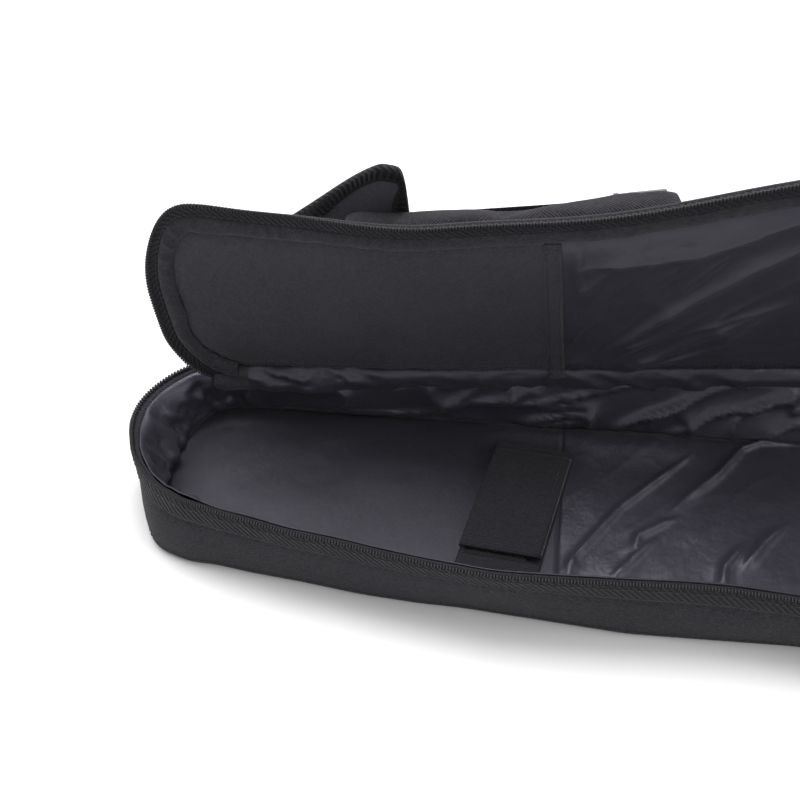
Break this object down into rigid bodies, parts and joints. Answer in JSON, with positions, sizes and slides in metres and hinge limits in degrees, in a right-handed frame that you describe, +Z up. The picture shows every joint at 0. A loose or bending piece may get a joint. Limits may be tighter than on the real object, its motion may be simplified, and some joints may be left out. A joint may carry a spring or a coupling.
{
  "type": "padded gig bag",
  "caption": "Padded soft case for an electric guitar or bass, open on its back, with hinged zip lid, neck strap, outer pockets and carry handle.",
  "frame": {"origin": "centre line of the bag at mid length, on the outer face of the back panel, which lies on the floor", "axes": "+X from the head end to the tail end, +Y towards the spine that the lid is sewn to, +Z up out of the tray"},
  "size_m": [1.0208, 0.3782, 0.3775],
  "materials": {
    "shell_fabric": "matt polyester canvas",
    "matte_lining": "matt woven",
    "nylon_lining": "semi-gloss thin nylon",
    "foam": "closed-cell foam",
    "binding": "matt",
    "zip_tape": "twill tape",
    "zip_coil": "satin",
    "zip_metal": "satin gunmetal",
    "webbing": "ribbed",
    "hook_pad": "hook tape",
    "patch_fabric": "coated weave",
    "grip_fabric": "matt woven"
  },
  "bodies": {
    "tray": {"back_panel": "shell_fabric", "base_padding": "foam", "base_head_panel": "matte_lining", "base_lining": "nylon_lining", "side_wall": "shell_fabric", "side_lining": "nylon_lining", "inner_seam_binding": "binding", "spine_binding": "binding", "tray_zip_tape": "zip_tape", "tray_zip_teeth": "zip_coil", "tail_patch": "patch_fabric", "neck_strap_lower": "webbing", "neck_strap_hook_pad": "hook_pad", "main_slider_front": "zip_metal", "main_slider_rear": "zip_metal", "handle_patches": "webbing"},
    "lid": {"lid_shell": "shell_fabric", "lid_padding": "foam", "lid_head_panel": "matte_lining", "lid_lining": "nylon_lining", "lid_binding": "binding", "lid_hem": "matte_lining", "lid_zip_tape": "zip_tape", "lid_zip_teeth": "zip_coil", "neck_pocket": "shell_fabric", "neck_pocket_zip": "zip_coil", "body_pocket": "shell_fabric", "body_pocket_zip": "zip_coil"},
    "strap_flap": {"neck_strap_upper": "webbing"},
    "neck_slider": {"neck_pocket_slider": "zip_metal"},
    "neck_pull": {"neck_pocket_pull": "zip_metal"},
    "body_slider": {"body_pocket_slider": "zip_metal"},
    "body_pull": {"body_pocket_pull": "zip_metal"},
    "flap": {"pocket_flap": "shell_fabric", "pocket_flap_binding": "webbing"},
    "front_pull": {"main_pull_front": "zip_metal"},
    "rear_pull": {"main_pull_rear": "zip_metal"},
    "handle": {"handle_webbing": "webbing", "handle_grip": "grip_fabric"}
  },
  "joints": [
    {"name": "lid_hinge", "type": "hinge", "parent": "tray", "child": "lid", "pos_m": [0, 0.11647, 0.056], "axis": [-0.989, -0.1478, 0], "range_deg": [-77, 99]},
    {"name": "strap_fold", "type": "hinge", "parent": "tray", "child": "strap_flap", "pos_m": [-0.256, 0.039, 0.0152], "axis": [-0.9925, 0.1219, 0], "range_deg": [0, 98]},
    {"name": "neck_slider_travel", "type": "slide", "parent": "lid", "child": "neck_slider", "axis": [0.9831, 0.1133, 0.144], "range_m": [-0.1, 0]},
    {"name": "neck_pull_swing", "type": "hinge", "parent": "neck_slider", "child": "neck_pull", "pos_m": [-0.22575, 0.10686, 0.18112], "axis": [-0.1133, -0.2419, 0.9637], "range_deg": [0, 170]},
    {"name": "body_slider_travel", "type": "slide", "parent": "lid", "child": "body_slider", "axis": [0.9831, 0.1133, 0.144], "range_m": [-0.34, 0]},
    {"name": "body_pull_swing", "type": "hinge", "parent": "body_slider", "child": "body_pull", "pos_m": [0.34805, 0.16277, 0.28233], "axis": [-0.1133, -0.2419, 0.9637], "range_deg": [0, 170]},
    {"name": "flap_fold", "type": "hinge", "parent": "lid", "child": "flap", "pos_m": [-0.40309, 0.07836, 0.15726], "axis": [-0.9813, -0.1685, 0.0934], "range_deg": [0, 90]},
    {"name": "front_pull_swing", "type": "hinge", "parent": "tray", "child": "front_pull", "pos_m": [0.44187, 0.15057, 0.0504], "axis": [0, 0, -1], "range_deg": [0, 150]},
    {"name": "rear_pull_swing", "type": "hinge", "parent": "tray", "child": "rear_pull", "pos_m": [0.48292, 0.11055, 0.0504], "axis": [0, 0, 1], "range_deg": [0, 150]},
    {"name": "handle_swing", "type": "hinge", "parent": "tray", "child": "handle", "pos_m": [0.12941, -0.12417, 0.024], "axis": [-0.9835, 0.181, 0], "range_deg": [-10, 60]}
  ]
}
